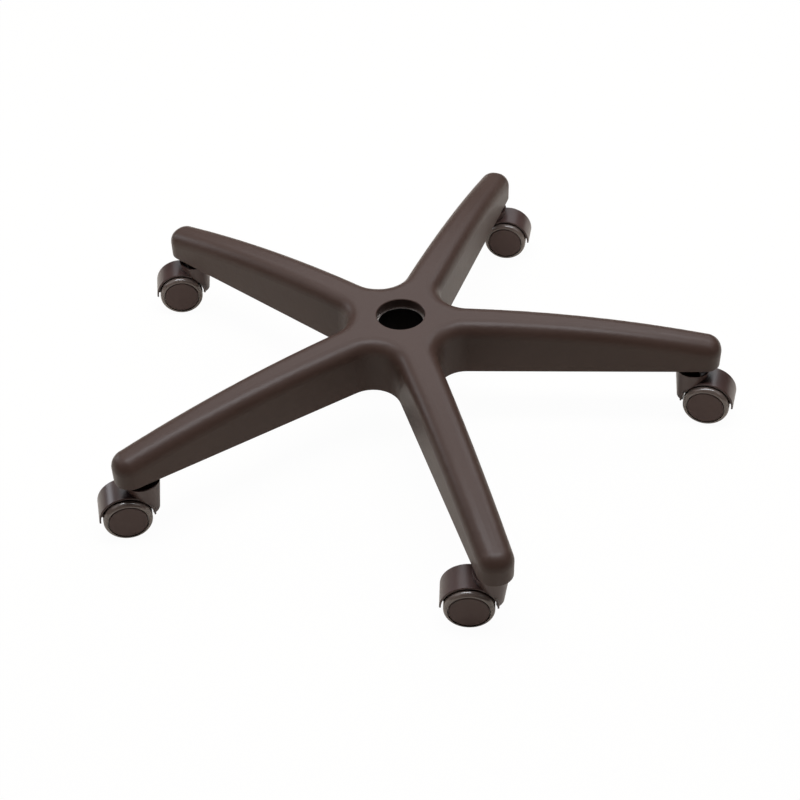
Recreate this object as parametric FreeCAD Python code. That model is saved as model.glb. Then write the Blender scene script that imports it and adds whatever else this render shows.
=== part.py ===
import FreeCAD, Part
import math
import os

# Five-star swivel chair base on hooded twin-wheel casters, in millimetres.
# The origin is the middle of the gas-column socket's mouth, on the hub's top face, with +Z up.
# Arm 1 points along +X. Heights are written above the floor and lowered to the origin on export.

# Star in plan
STEM_PITCH_RADIUS = 315.0
TIP_OVERHANG = 27.7
ARM_HALF_WIDTH_ROOT = 22.0
ARM_HALF_WIDTH_TIP = 17.6
CROTCH_RADIUS = 31.0
TIP_FLAT_HALF_WIDTH = 0.9

# Star in section
HUB_HEIGHT = 130.9
ARM_UNDERSIDE = 70.0
HUB_LAND_RADIUS = 48.5
ARM_CROWN_RADIUS = 1380.0
TOP_EDGE_RADIUS = 15.6
STAR_WALL = 5.0
STAR_ROOF = 8.0
RIB_THICKNESS = 3.0
RIB_RECESS = 4.0
FIRST_RIB_RADIUS = 90.0
RIB_PITCH = 46.5
RIB_COUNT = 5

# Gas-column socket: a plain mouth above a steel sleeve with the standard 50 mm taper
MOUTH_RADIUS = 25.8
MOUTH_DEPTH = 11.5
MOUTH_CHAMFER = 0.8
TAPER_TOP_RADIUS = 24.5
TAPER_HALF_ANGLE = 1.432
SLEEVE_WALL = 3.5
SLEEVE_KEY_DEPTH = 1.0
SLEEVE_KEY_WIDTH = 8.0
HUB_BOSS_WALL = 9.0

# Caster stem, with the standard 11 by 22 mm shank
SHANK_RADIUS = 5.5
SHANK_LENGTH = 22.0
SHANK_CHAMFER = 1.2
SOCKET_CLEARANCE = 0.05
SOCKET_END_CLEARANCE = 2.0
SOCKET_WALL = 5.5
FLANGE_RADIUS = 8.0
FLANGE_THICKNESS = 2.0
PIVOT_RADIUS = 4.5
PIVOT_END = 4.0
RUNNING_CLEARANCE = 0.05
SEAT_CLEARANCE = 0.3
GRIP_RING_RADIUS = 5.5
GRIP_RING_WIDTH = 2.4
GRIP_RING_DROP = 5.0
CLIP_RADIUS = 6.6
CLIP_THICKNESS = 1.0
CLIP_CLEARANCE = 0.5
RING_GROOVE_DEPTH = 1.0
RING_GAP_ANGLE = 40.0

# Caster wheels
WHEEL_RADIUS = 25.0
WHEEL_WIDTH = 13.2
WHEEL_SHOULDER_DEPTH = 4.8
WHEEL_HUB_RADIUS = 7.0
WHEEL_HUB_LENGTH = 10.0
WHEEL_WEB = 3.0
WHEEL_SIDE_GAP = 0.6
AXLE_RADIUS = 3.0
AXLE_GRIP_CLEARANCE = 0.02
SNAP_GROOVE_DEPTH = 0.6
SNAP_GROOVE_WIDTH = 1.6
SNAP_GROOVE_SETBACK = 3.0
SNAP_CLEARANCE = 0.1
SNAP_SIDE_PLAY = 0.3
CAP_RADIUS = 19.7
CAP_GROOVE = 1.1
CAP_THICKNESS = 2.4
CAP_CHAMFER = 0.6
CAP_SKIRT = 3.0
CAP_SKIRT_WALL = 1.6
CAP_SEAT_WIDTH = 2.0
CAP_SKIRT_CLEARANCE = 0.2

# Caster hood
TRAIL = 20.4
WHEEL_CLEARANCE = 2.0
HOOD_WALL = 1.8
HOOD_HALF_WIDTH = 15.6
HOOD_EDGE_CHAMFER = 0.6
WEB_HALF_WIDTH = 7.0
AXLE_BOSS_RADIUS = 9.0
CUP_RADIUS = 18.2
CUP_WALL = 2.0
CUP_GAP = 7.9
CUP_BOTTOM = 17.0
CUP_DRAFT = 7.0
CUP_CHAMFER = 6.0
CUP_FLOOR = 46.0
CUP_FLOOR_THICKNESS = 3.0
STEM_BOSS_RADIUS = 8.5
PIVOT_LENGTH = 27.0

# Heading of each caster at rest, in degrees about +Z from +X to its trailing wheels, one for each arm
CASTER_HEADINGS = (-14.0, -8.0, 190.0, 195.0, 180.0)

ARM_COUNT = len(CASTER_HEADINGS)
ARM_STEP = 360.0 / ARM_COUNT
ARM_REACH = STEM_PITCH_RADIUS + TIP_OVERHANG
TIP_CORNER_RADIUS = ARM_HALF_WIDTH_TIP - TIP_FLAT_HALF_WIDTH
SLEEVE_RADIUS = TAPER_TOP_RADIUS + SLEEVE_WALL
SLEEVE_TOP = HUB_HEIGHT - MOUTH_DEPTH
HUB_BOSS_RADIUS = SLEEVE_RADIUS + HUB_BOSS_WALL
SOCKET_RADIUS = SHANK_RADIUS + SOCKET_CLEARANCE
SOCKET_BOSS_RADIUS = SOCKET_RADIUS + SOCKET_WALL
HOOD_SEAT = ARM_UNDERSIDE - FLANGE_THICKNESS - SEAT_CLEARANCE
HOOD_UNDERSIDE = HOOD_SEAT - PIVOT_LENGTH
CUP_TOP = ARM_UNDERSIDE - CUP_GAP
WELL_RADIUS = WHEEL_RADIUS + WHEEL_CLEARANCE
HOOD_RADIUS = WELL_RADIUS + HOOD_WALL
WHEEL_INNER = WEB_HALF_WIDTH + WHEEL_SIDE_GAP
WHEEL_FACE = WHEEL_INNER + WHEEL_WIDTH
WHEEL_OPENING_RADIUS = CAP_RADIUS + CAP_GROOVE
CAP_SEAT_RADIUS = CAP_RADIUS - CAP_SEAT_WIDTH
CAP_SEAT = WHEEL_FACE - CAP_THICKNESS
AXLE_HALF_LENGTH = WHEEL_INNER + WHEEL_HUB_LENGTH
TALL = 4 * HUB_HEIGHT

ORIGIN = FreeCAD.Vector(0, 0, 0)
UP = FreeCAD.Vector(0, 0, 1)
ACROSS = FreeCAD.Vector(0, 1, 0)


def upright_cylinder(radius, low, high, x=0.0):
    return Part.makeCylinder(radius, high - low, FreeCAD.Vector(x, 0, low), UP)


def axle_cylinder(radius, low, high):
    """Cylinder about a caster's axle, between two distances from its middle plane."""
    return Part.makeCylinder(radius, high - low, FreeCAD.Vector(TRAIL, low, WHEEL_RADIUS), ACROSS)


def turned(points, angle=360.0):
    """Solid turned about Z from an outline of (radius, height) points."""
    outline = Part.makePolygon([FreeCAD.Vector(r, 0, z) for r, z in points + points[:1]])
    return Part.Face(outline).revolve(ORIGIN, UP, angle)


def rounded_outline(corners, height):
    """Closed level wire through (x, y, radius) corners, each rounded by a tangent arc."""
    edges = []
    spots = [FreeCAD.Vector(x, y, height) for x, y, radius in corners]
    arcs = []
    for index, (x, y, radius) in enumerate(corners):
        corner = spots[index]
        to_last = (spots[index - 1] - corner).normalize()
        to_next = (spots[(index + 1) % len(spots)] - corner).normalize()
        half_angle = to_last.getAngle(to_next) / 2
        run = radius / math.tan(half_angle)
        inward = (to_last + to_next).normalize()
        middle = corner + inward * (radius / math.sin(half_angle) - radius)
        arcs.append((corner + to_last * run, middle, corner + to_next * run))
    for index, (start, middle, end) in enumerate(arcs):
        edges.append(Part.LineSegment(arcs[index - 1][2], start).toShape())
        edges.append(Part.Arc(start, middle, end).toShape())
    return Part.Wire(edges)


def star_outline(inset, height):
    """Plan of the five tapering arms, drawn in by a wall's thickness."""
    root = ARM_HALF_WIDTH_ROOT - inset
    tip = ARM_HALF_WIDTH_TIP - inset
    reach = ARM_REACH - inset
    taper = (root - tip) / reach
    half_step = math.radians(ARM_STEP / 2)
    crotch = root / (math.sin(half_step) + taper * math.cos(half_step))
    corners = []
    for arm in range(ARM_COUNT):
        heading = math.radians(arm * ARM_STEP)
        along = FreeCAD.Vector(math.cos(heading), math.sin(heading), 0)
        beside = FreeCAD.Vector(-math.sin(heading), math.cos(heading), 0)
        between = heading + half_step
        for side in (-1, 1):
            spot = along * reach + beside * (side * tip)
            corners.append((spot.x, spot.y, TIP_CORNER_RADIUS - inset))
        corners.append((crotch * math.cos(between), crotch * math.sin(between), CROTCH_RADIUS + inset))
    return rounded_outline(corners, height)


def crown_height(radius):
    """Height of the star's top at a distance from the hub's axis."""
    beyond = max(radius - HUB_LAND_RADIUS, 0.0)
    return HUB_HEIGHT - ARM_CROWN_RADIUS + math.sqrt(ARM_CROWN_RADIUS ** 2 - beyond ** 2)


def crowned_star(inset, lowering, bottom):
    """Star-shaped body under the drooping crown, drawn in by a wall and lowered by a roof."""
    rim = ARM_REACH + ARM_HALF_WIDTH_TIP
    middle = (HUB_LAND_RADIUS + rim) / 2
    spots = [FreeCAD.Vector(r, 0, crown_height(r) - lowering) for r in (HUB_LAND_RADIUS, middle, rim)]
    top_middle = FreeCAD.Vector(0, 0, HUB_HEIGHT - lowering)
    bottom_rim = FreeCAD.Vector(rim, 0, bottom)
    bottom_middle = FreeCAD.Vector(0, 0, bottom)
    section = Part.Wire([
        Part.LineSegment(top_middle, spots[0]).toShape(),
        Part.Arc(*spots).toShape(),
        Part.LineSegment(spots[2], bottom_rim).toShape(),
        Part.LineSegment(bottom_rim, bottom_middle).toShape(),
        Part.LineSegment(bottom_middle, top_middle).toShape(),
    ])
    crown = Part.Face(section).revolve(ORIGIN, UP, 360)
    crown.rotate(ORIGIN, UP, ARM_STEP / 2)
    prism = Part.Face(star_outline(inset, bottom)).extrude(UP * (HUB_HEIGHT - bottom))
    return prism.common(crown).Solids[0]


def is_upright(face, spot):
    normal = face.normalAt(*face.Surface.parameter(spot))
    return abs(normal.z) < 0.2


def top_edges(body):
    """Edges where the top meets the upright walls."""
    found = []
    for edge in body.Edges:
        spot = edge.valueAt((edge.FirstParameter + edge.LastParameter) / 2)
        faces = body.ancestorsOfType(edge, Part.Face)
        walls = [face for face in faces if is_upright(face, spot)]
        if spot.z > ARM_UNDERSIDE and len(faces) == 2 and len(walls) == 1:
            found.append(edge)
    return found


def on_arm(shape, arm):
    turned_shape = shape.copy()
    turned_shape.rotate(ORIGIN, UP, arm * ARM_STEP)
    return turned_shape


def rib_plates():
    """Long and cross ribs of one arm, taller than the arm's hollow."""
    base = ARM_UNDERSIDE + RIB_RECESS
    plates = [Part.makeBox(STEM_PITCH_RADIUS, RIB_THICKNESS, TALL,
                           FreeCAD.Vector(0, -RIB_THICKNESS / 2, base))]
    width = 2 * ARM_HALF_WIDTH_ROOT
    for index in range(RIB_COUNT):
        start = FIRST_RIB_RADIUS + index * RIB_PITCH - RIB_THICKNESS / 2
        plates.append(Part.makeBox(RIB_THICKNESS, width, TALL, FreeCAD.Vector(start, -width / 2, base)))
    return plates


def sleeve_envelope():
    """Outside of the steel sleeve, with the ring groove that keys it into the hub."""
    middle = (SLEEVE_TOP + ARM_UNDERSIDE) / 2
    key_radius = SLEEVE_RADIUS - SLEEVE_KEY_DEPTH
    return [
        (SLEEVE_RADIUS, ARM_UNDERSIDE),
        (SLEEVE_RADIUS, middle - SLEEVE_KEY_WIDTH / 2),
        (key_radius, middle - SLEEVE_KEY_WIDTH / 2),
        (key_radius, middle + SLEEVE_KEY_WIDTH / 2),
        (SLEEVE_RADIUS, middle + SLEEVE_KEY_WIDTH / 2),
        (SLEEVE_RADIUS, SLEEVE_TOP),
    ]


def make_star_base():
    body = crowned_star(0.0, 0.0, ARM_UNDERSIDE)
    rounding = min(TOP_EDGE_RADIUS, TIP_CORNER_RADIUS - TIP_FLAT_HALF_WIDTH)
    body = body.makeFillet(rounding, top_edges(body))
    hollow = crowned_star(STAR_WALL, STAR_ROOF, ARM_UNDERSIDE - STAR_ROOF)
    kept = [upright_cylinder(HUB_BOSS_RADIUS, ARM_UNDERSIDE - STAR_ROOF, TALL)]
    socket_boss = upright_cylinder(SOCKET_BOSS_RADIUS, ARM_UNDERSIDE - STAR_ROOF, TALL, STEM_PITCH_RADIUS)
    for arm in range(ARM_COUNT):
        kept += [on_arm(shape, arm) for shape in rib_plates() + [socket_boss]]
    body = body.cut(hollow.cut(kept))
    socket_end = ARM_UNDERSIDE + SHANK_LENGTH + SOCKET_END_CLEARANCE
    socket = upright_cylinder(SOCKET_RADIUS, ARM_UNDERSIDE - STAR_ROOF, socket_end, STEM_PITCH_RADIUS)
    mouth = turned(sleeve_envelope() + [
        (MOUTH_RADIUS, SLEEVE_TOP),
        (MOUTH_RADIUS, HUB_HEIGHT - MOUTH_CHAMFER),
        (MOUTH_RADIUS + MOUTH_CHAMFER, HUB_HEIGHT),
        (0, HUB_HEIGHT),
        (0, ARM_UNDERSIDE),
    ])
    return body.cut([mouth] + [on_arm(socket, arm) for arm in range(ARM_COUNT)])


def make_hub_sleeve():
    shrink = (SLEEVE_TOP - ARM_UNDERSIDE) * math.tan(math.radians(TAPER_HALF_ANGLE))
    return turned(sleeve_envelope() + [
        (TAPER_TOP_RADIUS, SLEEVE_TOP),
        (TAPER_TOP_RADIUS - shrink, ARM_UNDERSIDE),
    ])


def make_caster_stem():
    shank_top = ARM_UNDERSIDE + SHANK_LENGTH
    grip_top = shank_top - GRIP_RING_DROP
    grip_low = grip_top - GRIP_RING_WIDTH
    flange_low = ARM_UNDERSIDE - FLANGE_THICKNESS
    clip_top = HOOD_UNDERSIDE - SEAT_CLEARANCE
    clip_low = clip_top - CLIP_THICKNESS
    shank_groove = SHANK_RADIUS - RING_GROOVE_DEPTH
    pivot_groove = PIVOT_RADIUS - RING_GROOVE_DEPTH
    return turned([
        (0, clip_low - PIVOT_END),
        (PIVOT_RADIUS - SHANK_CHAMFER, clip_low - PIVOT_END),
        (PIVOT_RADIUS, clip_low - PIVOT_END + SHANK_CHAMFER),
        (PIVOT_RADIUS, clip_low),
        (pivot_groove, clip_low),
        (pivot_groove, clip_top),
        (PIVOT_RADIUS, clip_top),
        (PIVOT_RADIUS, flange_low),
        (FLANGE_RADIUS, flange_low),
        (FLANGE_RADIUS, ARM_UNDERSIDE),
        (SHANK_RADIUS, ARM_UNDERSIDE),
        (SHANK_RADIUS, grip_low),
        (shank_groove, grip_low),
        (shank_groove, grip_top),
        (SHANK_RADIUS, grip_top),
        (SHANK_RADIUS, shank_top - SHANK_CHAMFER),
        (SHANK_RADIUS - SHANK_CHAMFER, shank_top),
        (0, shank_top),
    ])


def split_ring(inner, outer, low, high):
    ring = turned([(inner, low), (outer, low), (outer, high), (inner, high)], 360.0 - RING_GAP_ANGLE)
    ring.rotate(ORIGIN, UP, RING_GAP_ANGLE / 2)
    return ring


def make_grip_ring():
    top = ARM_UNDERSIDE + SHANK_LENGTH - GRIP_RING_DROP
    return split_ring(SHANK_RADIUS - RING_GROOVE_DEPTH, GRIP_RING_RADIUS, top - GRIP_RING_WIDTH, top)


def make_stem_clip():
    top = HOOD_UNDERSIDE - SEAT_CLEARANCE
    return split_ring(PIVOT_RADIUS - RING_GROOVE_DEPTH, CLIP_RADIUS, top - CLIP_THICKNESS, top)


def cup_outline(wall, low, high):
    """Half section of the drafted cup about the stem, drawn in by a wall's thickness."""
    slope = math.tan(math.radians(CUP_DRAFT))
    chamfer_top = CUP_BOTTOM + CUP_CHAMFER

    def radius(z):
        side = CUP_RADIUS - (CUP_TOP - z) * slope
        return min(side, side + z - chamfer_top) - wall
    levels = [z for z in (low, chamfer_top, high) if low <= z <= high]
    return [(0, low)] + [(radius(z), z) for z in levels] + [(0, high)]


def make_caster_hood():
    barrel = axle_cylinder(HOOD_RADIUS, -HOOD_HALF_WIDTH, HOOD_HALF_WIDTH)
    barrel = barrel.makeChamfer(HOOD_EDGE_CHAMFER, [edge for edge in barrel.Edges if edge.Closed])
    side = 2 * HOOD_RADIUS
    upper = Part.makeBox(side, side, side, FreeCAD.Vector(TRAIL - HOOD_RADIUS, -HOOD_RADIUS, WHEEL_RADIUS))
    well = axle_cylinder(WELL_RADIUS, -HOOD_RADIUS, HOOD_RADIUS)
    fender = barrel.common(upper)
    cup = turned(cup_outline(0.0, CUP_BOTTOM, CUP_TOP)).cut(well)
    axle_boss = axle_cylinder(AXLE_BOSS_RADIUS, -WEB_HALF_WIDTH, WEB_HALF_WIDTH)
    full_barrel = axle_cylinder(HOOD_RADIUS, -HOOD_RADIUS, HOOD_RADIUS)
    stem_boss = upright_cylinder(STEM_BOSS_RADIUS, HOOD_UNDERSIDE, HOOD_SEAT)
    bowl = turned(cup_outline(CUP_WALL, CUP_FLOOR, CUP_TOP)).cut([full_barrel, stem_boss])
    pocket = turned(cup_outline(CUP_WALL, CUP_BOTTOM, CUP_FLOOR - CUP_FLOOR_THICKNESS)).cut(full_barrel)
    wheel_wells = [axle_cylinder(WELL_RADIUS, WEB_HALF_WIDTH, HOOD_RADIUS),
                   axle_cylinder(WELL_RADIUS, -HOOD_RADIUS, -WEB_HALF_WIDTH)]
    below_stem = Part.makeBox(side, side, HOOD_UNDERSIDE,
                              FreeCAD.Vector(STEM_BOSS_RADIUS - side, -HOOD_RADIUS, 0)).common(well)
    clip_bore = upright_cylinder(CLIP_RADIUS + CLIP_CLEARANCE, WHEEL_RADIUS, HOOD_UNDERSIDE)
    pivot_bore = upright_cylinder(PIVOT_RADIUS + RUNNING_CLEARANCE, 0, TALL)
    axle_hole = axle_cylinder(AXLE_RADIUS + AXLE_GRIP_CLEARANCE, -HOOD_RADIUS, HOOD_RADIUS)
    hood = fender.fuse([cup, stem_boss]).cut([bowl, pocket, below_stem] + wheel_wells)
    hood = hood.fuse(axle_boss).cut([clip_bore, pivot_bore, axle_hole])
    return hood.removeSplitter()


def about_axle(shape):
    """Lay a turned piece along a caster's axle, with its turning axis along +Y."""
    shape.rotate(ORIGIN, FreeCAD.Vector(1, 0, 0), -90)
    shape.translate(FreeCAD.Vector(TRAIL, 0, WHEEL_RADIUS))
    return shape


def snap_groove():
    """Near and far edges of the axle's groove that the wheel snaps into."""
    far = AXLE_HALF_LENGTH - SNAP_GROOVE_SETBACK
    return far - SNAP_GROOVE_WIDTH, far


def make_axle():
    near, far = snap_groove()
    groove = AXLE_RADIUS - SNAP_GROOVE_DEPTH
    half = [(AXLE_RADIUS, near), (groove, near), (groove, far), (AXLE_RADIUS, far),
            (AXLE_RADIUS, AXLE_HALF_LENGTH), (0, AXLE_HALF_LENGTH)]
    return about_axle(turned([(r, -y) for r, y in reversed(half)] + half))


def make_wheel():
    bore = AXLE_RADIUS + RUNNING_CLEARANCE
    near, far = snap_groove()
    ridge = AXLE_RADIUS - SNAP_GROOVE_DEPTH + SNAP_CLEARANCE
    web_face = WHEEL_INNER + WHEEL_WEB
    shoulder = WHEEL_FACE - WHEEL_SHOULDER_DEPTH
    rim_height = WHEEL_RADIUS - WHEEL_OPENING_RADIUS
    rounding = (WHEEL_SHOULDER_DEPTH ** 2 + rim_height ** 2) / (2 * rim_height)
    half_turn = math.acos(1 - rim_height / rounding) / 2
    spots = [FreeCAD.Vector(r, 0, y) for r, y in (
        (WHEEL_OPENING_RADIUS, WHEEL_FACE), (WHEEL_OPENING_RADIUS, CAP_SEAT),
        (CAP_SEAT_RADIUS, CAP_SEAT), (CAP_SEAT_RADIUS, web_face), (WHEEL_HUB_RADIUS, web_face),
        (WHEEL_HUB_RADIUS, AXLE_HALF_LENGTH), (bore, AXLE_HALF_LENGTH),
        (bore, far - SNAP_SIDE_PLAY), (ridge, far - SNAP_SIDE_PLAY),
        (ridge, near + SNAP_SIDE_PLAY), (bore, near + SNAP_SIDE_PLAY), (bore, WHEEL_INNER),
        (WHEEL_RADIUS, WHEEL_INNER), (WHEEL_RADIUS, shoulder))]
    bulge = FreeCAD.Vector(WHEEL_RADIUS - rounding * (1 - math.cos(half_turn)), 0,
                           shoulder + rounding * math.sin(half_turn))
    edges = [Part.LineSegment(a, b).toShape() for a, b in zip(spots, spots[1:])]
    edges.append(Part.Arc(spots[-1], bulge, spots[0]).toShape())
    return about_axle(Part.Face(Part.Wire(edges)).revolve(ORIGIN, UP, 360))


def make_wheel_cap():
    skirt = CAP_SEAT_RADIUS - CAP_SKIRT_CLEARANCE
    return about_axle(turned([
        (0, CAP_SEAT),
        (skirt - CAP_SKIRT_WALL, CAP_SEAT),
        (skirt - CAP_SKIRT_WALL, CAP_SEAT - CAP_SKIRT),
        (skirt, CAP_SEAT - CAP_SKIRT),
        (skirt, CAP_SEAT),
        (CAP_RADIUS, CAP_SEAT),
        (CAP_RADIUS, WHEEL_FACE - CAP_CHAMFER),
        (CAP_RADIUS - CAP_CHAMFER, WHEEL_FACE),
        (0, WHEEL_FACE),
    ]))


def mirrored(shape):
    return shape.mirror(ORIGIN, ACROSS)


def save(node, shape):
    """Lower a finished piece from floor heights to the origin and write it."""
    shape.translate(UP * -HUB_HEIGHT)
    shape.exportStep(os.path.join("parts", node + ".step"))
    print(node, "solids", len(shape.Solids), "volume", round(shape.Volume), "valid", shape.isValid())


def main():
    os.makedirs("parts", exist_ok=True)
    save("star_base", make_star_base())
    save("hub_sleeve", make_hub_sleeve())
    wheel = make_wheel()
    cap = make_wheel_cap()
    swivelling = {"caster_hood": make_caster_hood(), "axle": make_axle(),
                  "wheel_left": wheel, "wheel_right": mirrored(wheel),
                  "wheel_cap_left": cap, "wheel_cap_right": mirrored(cap)}
    fixed = {"caster_stem": make_caster_stem(), "grip_ring": make_grip_ring(), "stem_clip": make_stem_clip()}
    for arm, heading in enumerate(CASTER_HEADINGS):
        arm_angle = math.radians(arm * ARM_STEP)
        socket = FreeCAD.Vector(math.cos(arm_angle), math.sin(arm_angle), 0) * STEM_PITCH_RADIUS
        for pieces, turn in ((swivelling, heading), (fixed, arm * ARM_STEP)):
            for name, piece in pieces.items():
                placed = piece.copy()
                placed.rotate(ORIGIN, UP, turn)
                placed.translate(socket)
                save(name + "_" + str(arm + 1), placed)


main()
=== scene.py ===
# %% [markdown]
# # Dressing a five-star chair base
#
# The base of an office chair is a moulded nylon star with a steel-lined socket in its hub and a hooded
# twin-wheel caster under each arm. The solids come ready made, at their real size in metres, so this
# lesson is about what makes them look like the real thing: the finish of each moulding, the light and the
# camera.
#
# The script can be read from top to bottom like a notebook. Each step starts with a few words on the real
# object and on why the step is done this way.

# %% Load the solids
import math

import bmesh
import bpy
from mathutils import Matrix, Vector


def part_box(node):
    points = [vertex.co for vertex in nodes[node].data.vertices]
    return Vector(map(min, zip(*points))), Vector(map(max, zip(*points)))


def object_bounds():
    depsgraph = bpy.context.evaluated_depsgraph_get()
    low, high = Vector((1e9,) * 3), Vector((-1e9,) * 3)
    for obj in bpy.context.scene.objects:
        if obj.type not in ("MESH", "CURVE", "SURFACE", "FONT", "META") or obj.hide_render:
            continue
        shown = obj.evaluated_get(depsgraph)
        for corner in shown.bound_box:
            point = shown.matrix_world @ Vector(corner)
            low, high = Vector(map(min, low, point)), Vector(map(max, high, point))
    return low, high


MM = 0.001

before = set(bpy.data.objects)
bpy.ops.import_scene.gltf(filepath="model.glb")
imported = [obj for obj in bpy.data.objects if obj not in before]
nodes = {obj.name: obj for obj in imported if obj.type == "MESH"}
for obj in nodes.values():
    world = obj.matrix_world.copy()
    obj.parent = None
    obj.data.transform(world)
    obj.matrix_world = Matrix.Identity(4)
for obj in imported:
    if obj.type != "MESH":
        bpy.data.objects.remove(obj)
cad_low, cad_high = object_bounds()
print("solids:", len(nodes), "box:", [round(side / MM, 1) for side in cad_high - cad_low], "mm")

# %% [markdown]
# ## The camera
#
# The picture was taken from above the height of a table, looking down at the hub. A camera could be
# pointed with a Track To constraint, but its roll has to be set too, so its three axes are worked out from
# the angles: forward first, then right, which lies level, then up, which is square to both. The roll turns
# the last two. The aim slides the camera sideways and up in its own picture plane, so that the lens needs
# no shift.

# %% Place the camera
CAMERA_HEADING = math.radians(-3.71)
CAMERA_ELEVATION = math.radians(41.64)
CAMERA_ROLL = math.radians(-1.74)
CAMERA_DISTANCE = 1623.3 * MM
CAMERA_AIM = (-0.63 * MM, -91.35 * MM)
LENS_IN_MM = 68.77
SENSOR_IN_MM = 36.0


def camera_axes():
    """The camera's right, up and forward directions."""
    forward = Vector((math.sin(CAMERA_HEADING) * math.cos(CAMERA_ELEVATION),
                      math.cos(CAMERA_HEADING) * math.cos(CAMERA_ELEVATION),
                      -math.sin(CAMERA_ELEVATION)))
    level = Vector((math.cos(CAMERA_HEADING), -math.sin(CAMERA_HEADING), 0))
    square = level.cross(forward)
    right = level * math.cos(CAMERA_ROLL) + square * math.sin(CAMERA_ROLL)
    up = square * math.cos(CAMERA_ROLL) - level * math.sin(CAMERA_ROLL)
    return right, up, forward


def place_camera():
    right, up, forward = camera_axes()
    spot = right * CAMERA_AIM[0] + up * CAMERA_AIM[1] - forward * CAMERA_DISTANCE
    lens = bpy.data.cameras.new("photo_camera")
    lens.lens = LENS_IN_MM
    lens.sensor_width = SENSOR_IN_MM
    camera = bpy.data.objects.new("photo_camera", lens)
    bpy.context.scene.collection.objects.link(camera)
    camera.matrix_world = Matrix.Translation(spot) @ Matrix((right, up, -forward)).transposed().to_4x4()
    bpy.context.scene.camera = camera
    return camera


camera = place_camera()
print("camera at", [round(value / MM) for value in camera.location], "mm")

# %% [markdown]
# ## Sums on sockets
#
# A finish is a small machine made of shader nodes. Placing them one by one hides the idea, so one class
# wraps an output socket and lets Python's own operators stand for Math nodes: `1 - mask * 0.2` adds two of
# them. Every other node comes from the method `node`, which takes the node's type, its settings, and what
# goes into its sockets. Colours go through a Mix node, because a Math node would turn them grey.

# %% Wrap a socket


class Wire:
    """One output of a shader node. A sum on wires adds Math nodes to the same tree."""

    def __init__(self, socket):
        self.socket = socket

    def node(self, kind, settings=None, inputs=None, output=0):
        """Add a node: its type, then its settings, then the values or wires of its sockets."""
        tree = self.socket.id_data
        added = tree.nodes.new(kind)
        for name, value in (settings or {}).items():
            setattr(added, name, value)
        for key, value in (inputs or {}).items():
            if isinstance(value, Wire):
                tree.links.new(value.socket, added.inputs[key])
            else:
                added.inputs[key].default_value = value
        return Wire(added.outputs[output])

    def sum(self, operation, first, second):
        return self.node("ShaderNodeMath", {"operation": operation}, {0: first, 1: second})

    def __add__(self, other):
        return self.sum("ADD", self, other)

    def __radd__(self, other):
        return self.sum("ADD", other, self)

    def __sub__(self, other):
        return self.sum("SUBTRACT", self, other)

    def __rsub__(self, other):
        return self.sum("SUBTRACT", other, self)

    def __mul__(self, other):
        return self.sum("MULTIPLY", self, other)

    def __rmul__(self, other):
        return self.sum("MULTIPLY", other, self)

    def larger(self, other):
        return self.sum("MAXIMUM", self, other)

    def blend(self, low_colour, high_colour):
        """A colour that goes from one to the other as this wire goes from 0 to 1."""
        # The Mix node has sockets for each type of data: 6, 7 and output 2 are the colours.
        return self.node("ShaderNodeMix", {"data_type": "RGBA"},
                         {"Factor": self, 6: low_colour, 7: high_colour}, output=2)

    def noise(self, size, detail=2.0):
        """Soft random values over the surface, with blotches of about this size in metres."""
        return self.node("ShaderNodeTexNoise",
                         inputs={"Vector": self, "Scale": 1 / size, "Detail": detail})

    def step(self, start, end):
        """This wire stretched so that start becomes 0 and end becomes 1, and clamped."""
        return self.node("ShaderNodeMapRange",
                         inputs={"Value": self, "From Min": start, "From Max": end})

    def bump(self, depth, **under):
        """A normal bent as if this wire were a relief of that depth, on the Normal underneath if given."""
        return self.node("ShaderNodeBump", inputs={"Height": self, "Distance": depth, **under})


print("a wire can:", ", ".join(name for name in vars(Wire) if not name.startswith("_")))

# %% [markdown]
# ## Finishes
#
# Four small helpers do what every finish needs. A colour is easiest to choose as it looks on screen, but a
# shader works in linear light, so `shade` turns one into the other. A fresh material brings the solid's own
# coordinates along, because a pattern that hangs on them moves with the solid and has a size in metres.
# The solids of one kind differ only by the number at the end of their names, so a finish goes to a kind.

# %% Helpers for finishes


def shade(tone):
    """An (r, g, b) as it looks on screen, from 0 to 255, turned into a shader's linear colour."""
    channels = [part / 255 for part in tone]
    linear = [part / 12.92 if part <= 0.04045 else ((part + 0.055) / 1.055) ** 2.4 for part in channels]
    return (*linear, 1.0)


def new_finish(name):
    """A fresh material, its main shader, and a wire with the solid's own coordinates in metres."""
    material = bpy.data.materials.new(name)
    material.use_nodes = True
    tree = material.node_tree
    shader = tree.nodes["Principled BSDF"]
    place = Wire(tree.nodes.new("ShaderNodeTexCoord").outputs["Object"])
    return material, shader, place


def connect(shader, **wires):
    """Feed wires to the shader's sockets, named with underscores for spaces."""
    for name, wire in wires.items():
        shader.id_data.links.new(wire.socket, shader.inputs[name.replace("_", " ")])


def dress(material, *kinds):
    """Give a finish to every solid of these kinds, whatever number follows the kind's name."""
    chosen = [solid for name, solid in nodes.items() if name.rstrip("_0123456789") in kinds]
    for solid in chosen:
        solid.data.materials.clear()
        solid.data.materials.append(material)
    print(material.name, "on", len(chosen), "solids")


print("kinds of solid:", sorted({name.rstrip("_0123456789") for name in nodes}))

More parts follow.
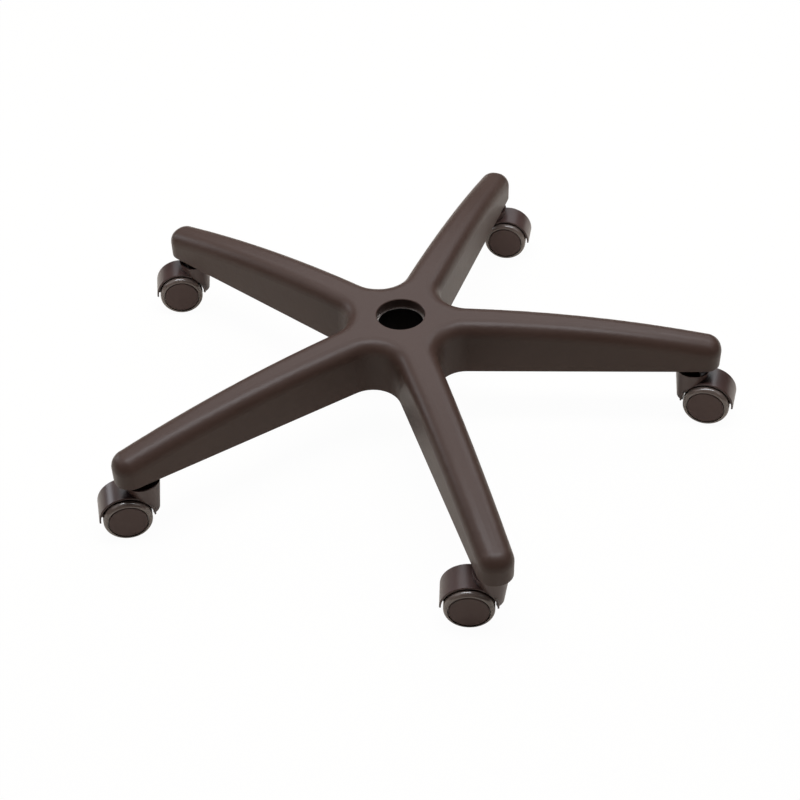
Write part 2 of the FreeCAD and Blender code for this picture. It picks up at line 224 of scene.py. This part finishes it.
# %% [markdown]
# ## Moulded nylon
#
# The star, the hoods and the caps are moulded in glass-filled nylon of one warm charcoal colour, and differ
# by the skin that the mould gives them. Sparks cut the steel of a mould into a fine grain, and the plastic
# copies it: that is the finer of the two bumps. Wider and softer ripples come from the way thick plastic
# shrinks as it cools. The flow of the melt leaves blotches a hand wide, which show as a slightly different
# tone and gloss.
#
# A grained skin mirrors less than polished plastic, so its index of refraction is set low. The hoods come
# from a smoother mould, and the wheels are polished and a shade lighter, so that their rims catch the
# light: theirs is higher.
#
# The edges of a moulding are never sharp. Rounding them in the mesh would take a great many small faces, so
# the Bevel node bends the normals next to each edge instead.

# %% Mix the nylon finishes
EDGE_ROUNDING = 0.5 * MM
FLOW_SIZE = 90 * MM
FLOW_SPREAD = (0.3, 0.7)
FLOW_LIFT = 4
RIPPLE_SIZE = 7 * MM
GRAINED_IOR = 1.31
SATIN_IOR = 1.42
POLISHED_IOR = 1.6


def nylon(name, tone, ior, roughness, gloss_swing, grain_size, grain_depth, ripple_depth):
    material, shader, place = new_finish(name)
    shader.inputs["IOR"].default_value = ior
    flow = place.noise(FLOW_SIZE, detail=4.0).step(*FLOW_SPREAD)
    grain = place.noise(grain_size)
    ripple = place.noise(RIPPLE_SIZE, detail=1.0)
    rounded = place.node("ShaderNodeBevel", {"samples": 4}, {"Radius": EDGE_ROUNDING})
    rippled = ripple.bump(ripple_depth, Normal=rounded)
    flow_tone = [part + FLOW_LIFT for part in tone]
    connect(shader,
            Base_Color=flow.blend(shade(tone), shade(flow_tone)),
            Roughness=roughness + (flow - 0.5) * gloss_swing + (grain - 0.5) * gloss_swing,
            Normal=grain.bump(grain_depth, Normal=rippled))
    return material


star_nylon = nylon("star_nylon", (66, 49, 42), GRAINED_IOR, roughness=0.40, gloss_swing=0.05,
                   grain_size=0.8 * MM, grain_depth=0.05 * MM, ripple_depth=0.12 * MM)
hood_nylon = nylon("hood_nylon", (69, 51, 47), SATIN_IOR, roughness=0.32, gloss_swing=0.05,
                   grain_size=0.6 * MM, grain_depth=0.03 * MM, ripple_depth=0.06 * MM)
wheel_nylon = nylon("wheel_nylon", (100, 87, 80), POLISHED_IOR, roughness=0.20, gloss_swing=0.04,
                    grain_size=0.5 * MM, grain_depth=0.015 * MM, ripple_depth=0.03 * MM)
cap_nylon = nylon("cap_nylon", (78, 61, 57), GRAINED_IOR, roughness=0.5, gloss_swing=0.06,
                  grain_size=0.7 * MM, grain_depth=0.05 * MM, ripple_depth=0.03 * MM)
dress(star_nylon, "star_base")
dress(hood_nylon, "caster_hood")
dress(wheel_nylon, "wheel_left", "wheel_right")
dress(cap_nylon, "wheel_cap_left", "wheel_cap_right")

# %% [markdown]
# ## Turned steel
#
# The stems, axles and rings are plain steel. A lathe leaves fine lines on it, which could be drawn as a
# wave, but waves repeat too evenly. A noise that is squeezed in height gives level lines that come and go,
# and the same noise makes them darker, smoother and deeper together.

# %% Mix the turned steel
LINE_PITCH = 0.25 * MM
LINE_STRETCH = 40.0
LINE_DEPTH = 0.02 * MM
LINE_TONE = 0.9


def level_lines(place):
    """Fine level lines that come and go, from 0 in a groove to 1 between two of them."""
    squeezed = place.node("ShaderNodeMapping", inputs={"Vector": place, "Scale": (1, 1, LINE_STRETCH)})
    return squeezed.noise(LINE_PITCH * LINE_STRETCH, detail=3.0)


def steel(name, tone, roughness, gloss_swing=0.15):
    material, shader, place = new_finish(name)
    shader.inputs["Metallic"].default_value = 1.0
    lines = level_lines(place)
    line_tone = [part * LINE_TONE for part in tone]
    connect(shader,
            Base_Color=lines.blend(shade(line_tone), shade(tone)),
            Roughness=roughness + (lines - 0.5) * gloss_swing,
            Normal=lines.bump(LINE_DEPTH))
    return material


dress(steel("pin_steel", (178, 174, 170), roughness=0.32), "caster_stem", "axle")
dress(steel("spring_steel", (120, 116, 112), roughness=0.38), "grip_ring", "stem_clip")

# %% [markdown]
# ## The sleeve in the hub
#
# The socket is lined with a steel sleeve, blackened all over but rubbed bright on its upper edge, where
# every column that was pushed in has touched it. That edge is the thin light ring inside the mouth. It
# could be a second material on the upper faces, but a worn edge fades, so the height on the sleeve tells
# one shader where the bright metal starts.

# %% Mix the sleeve's steel
RUBBED_BAND = 0.6 * MM
RUBBED_TONE = (214, 206, 199)
RUBBED_ROUGHNESS = 0.3
BLACKENED_TONE = (16, 13, 12)
BLACKENED_ROUGHNESS = 0.5


def sleeve_steel(gloss_swing=0.1):
    material, shader, place = new_finish("sleeve_steel")
    shader.inputs["Metallic"].default_value = 1.0
    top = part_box("hub_sleeve")[1].z
    height = place.node("ShaderNodeSeparateXYZ", inputs={"Vector": place}, output="Z")
    rubbed = height.step(top - RUBBED_BAND, top)
    lines = level_lines(place)
    roughness = BLACKENED_ROUGHNESS - rubbed * (BLACKENED_ROUGHNESS - RUBBED_ROUGHNESS)
    connect(shader,
            Base_Color=rubbed.blend(shade(BLACKENED_TONE), shade(RUBBED_TONE)),
            Roughness=roughness + (lines - 0.5) * gloss_swing,
            Normal=lines.bump(LINE_DEPTH))
    return material


dress(sleeve_steel(), "hub_sleeve")

# %% [markdown]
# ## The floor's finish
#
# The base stands in a white studio. A white floor that is only lit would need so much light that the dark
# nylon turned grey, so the camera sees the floor nearly as plain white. The rest of its shading keeps the
# soft shadow. What shines sees less of the plain white and more of the lit floor, because the walls near
# the hub are dark where they mirror the shaded floor under the arms. Seen from underneath the floor is
# clear, so that the ribs can be looked at.

# %% Mix the floor's finish
FLOOR_COLOUR = (0.97, 0.88, 0.76, 1)
FLOOR_WHITE_SHARE = 0.97
MIRRORED_SHARE = 0.12
WHITE = (1, 1, 1, 1)


def seen_directly(tree, mirrored_share):
    """1 for the rays that show the background: to the eye, through glass, or in part off a shiny skin."""
    path = tree.nodes.new("ShaderNodeLightPath")
    to_the_eye = Wire(path.outputs["Is Camera Ray"])
    through_glass = Wire(path.outputs["Is Transmission Ray"])
    mirrored = Wire(path.outputs["Is Glossy Ray"])
    return to_the_eye.larger(through_glass).larger(mirrored * mirrored_share)


def floor_finish():
    material = bpy.data.materials.new("studio_floor")
    material.use_nodes = True
    tree = material.node_tree
    tree.nodes.clear()
    seen = seen_directly(tree, MIRRORED_SHARE)
    lit = seen.node("ShaderNodeBsdfDiffuse", inputs={"Color": FLOOR_COLOUR})
    white = seen.node("ShaderNodeEmission", inputs={"Color": WHITE})
    ground = seen.node("ShaderNodeMixShader", inputs={0: seen * FLOOR_WHITE_SHARE, 1: lit, 2: white})
    clear = seen.node("ShaderNodeBsdfTransparent")
    below = seen.node("ShaderNodeNewGeometry", output="Backfacing")
    both = seen.node("ShaderNodeMixShader", inputs={0: below, 1: ground, 2: clear})
    end = tree.nodes.new("ShaderNodeOutputMaterial")
    tree.links.new(both.socket, end.inputs["Surface"])
    return material


floor_material = floor_finish()
print(floor_material.name, "has", len(floor_material.node_tree.nodes), "nodes")

# %% [markdown]
# ## The floor
#
# A studio's paper roll bends up behind the object. Here the floor already looks white all the way out, so a
# wide flat disc at the height of the wheels' lowest point does the same. It belongs to the stage, not to
# the object.

# %% Lay the floor
FLOOR_REACH = 12.0
FLOOR_SIDES = 64


def put_on_stage(name, shape, material):
    """Turn a bmesh into an object of the stage."""
    mesh = bpy.data.meshes.new(name)
    shape.to_mesh(mesh)
    shape.free()
    mesh.materials.append(material)
    sheet = bpy.data.objects.new(name, mesh)
    bpy.context.scene.collection.objects.link(sheet)
    return sheet


disc = bmesh.new()
bmesh.ops.create_circle(disc, cap_ends=True, segments=FLOOR_SIDES, radius=FLOOR_REACH,
                        matrix=Matrix.Translation((0, 0, cad_low.z)))
floor = put_on_stage("studio_floor", disc, floor_material)
print(floor.name, "at", round(cad_low.z / MM, 1), "mm")

# %% [markdown]
# ## The world
#
# The world round the set is a plain soft fill. It is white to the eye and in reflections, as the studio's
# walls are, but it gives only a little light, so that the lamps shape the object.

# %% Set the world
WORLD_FILL = 0.1


def set_world():
    world = bpy.data.worlds.new("studio_world")
    bpy.context.scene.world = world
    world.use_nodes = True
    tree = world.node_tree
    tree.nodes.clear()
    seen = seen_directly(tree, 1.0)
    strength = seen * (1 - WORLD_FILL) + WORLD_FILL
    glow = seen.node("ShaderNodeBackground", inputs={"Color": WHITE, "Strength": strength})
    end = tree.nodes.new("ShaderNodeOutputWorld")
    tree.links.new(glow.socket, end.inputs["Surface"])
    return world


print(set_world().name, "gives a fill of", WORLD_FILL)

# %% [markdown]
# ## Black cloth
#
# Dark plastic shows its form by what it mirrors. In an all-white room every edge would shine, so
# photographers hang black cloth behind the camera and round the set, and the edges that face the eye stay
# dark. The first cloth is a flat sheet, square to the camera's line of sight. The second is a low round
# tent. Only reflections and soft light see them: to the camera itself they are hidden.

# %% Hang the cloths
CLOTH_COLOUR = (0.02, 0.018, 0.017, 1)
CLOTH_DISTANCE = 2.6
CLOTH_WIDTH = 4.0
CLOTH_HEIGHT = 2.6
TENT_RADIUS = 2.7
TENT_HEIGHT = 1.7
TENT_SIDES = 48


def black_cloth():
    material = bpy.data.materials.new("black_cloth")
    material.use_nodes = True
    shader = material.node_tree.nodes["Principled BSDF"]
    shader.inputs["Base Color"].default_value = CLOTH_COLOUR
    shader.inputs["Roughness"].default_value = 1.0
    return material


def flat_cloth():
    """A sheet behind the camera, turned as the camera is."""
    turn = camera.matrix_world.to_3x3()
    behind = turn @ Vector((0, 0, CLOTH_DISTANCE))
    shape = bmesh.new()
    bmesh.ops.create_grid(shape, x_segments=1, y_segments=1, size=0.5)
    bmesh.ops.scale(shape, vec=(CLOTH_WIDTH, CLOTH_HEIGHT, 1), verts=shape.verts)
    bmesh.ops.transform(shape, matrix=Matrix.Translation(behind) @ turn.to_4x4(), verts=shape.verts)
    return shape


def round_tent():
    """A wall round the set that stands on the floor."""
    shape = bmesh.new()
    bmesh.ops.create_cone(shape, segments=TENT_SIDES, radius1=TENT_RADIUS, radius2=TENT_RADIUS,
                          depth=TENT_HEIGHT,
                          matrix=Matrix.Translation((0, 0, cad_low.z + TENT_HEIGHT / 2)))
    return shape


cloth_material = black_cloth()
for name, shape in (("camera_cloth", flat_cloth()), ("tent_cloth", round_tent())):
    cloth = put_on_stage(name, shape, cloth_material)
    cloth.visible_camera = False
    print(name, "spans", [round(side, 1) for side in cloth.dimensions], "m")

# %% [markdown]
# ## Soft boxes
#
# The level tops mirror the back of the studio, so a wide soft box stands there. A narrow one overhead draws
# the light band along the rounded edge of each arm, and two small ones at the back left and back right
# light the flanks and the floor beside them. Their light is a little cool, against the warm bounce of the
# floor. Together they light the object at a plain level, and the Standard view shows the colours unchanged.

# %% Set the soft boxes
LAMP_COLOUR = (0.9, 0.94, 1.0)


def soft_box(name, spot, aim, width, height, watts):
    lamp = bpy.data.lights.new(name, "AREA")
    lamp.shape = "RECTANGLE"
    lamp.size = width
    lamp.size_y = height
    lamp.energy = watts
    lamp.color = LAMP_COLOUR
    box = bpy.data.objects.new(name, lamp)
    bpy.context.scene.collection.objects.link(box)
    box.location = spot
    box.rotation_euler = (Vector(aim) - Vector(spot)).to_track_quat("-Z", "Y").to_euler()
    print(name, "at", spot, "m with", watts, "W")


soft_box("back_box", (0.0, 1.4, 1.35), (0, 0, -0.05), width=2.4, height=1.4, watts=15)
soft_box("overhead_box", (0.0, -0.05, 2.0), (0, 0, 0), width=2.2, height=0.45, watts=43.5)
soft_box("left_box", (-2.0, 0.8, 0.7), (0, 0, -0.05), width=0.7, height=0.6, watts=8.5)
soft_box("right_box", (0.9, 0.9, 1.2), (0.35, 0.45, -0.13), width=0.4, height=0.4, watts=3.5)
bpy.context.scene.view_settings.view_transform = "Standard"

# %% [markdown]
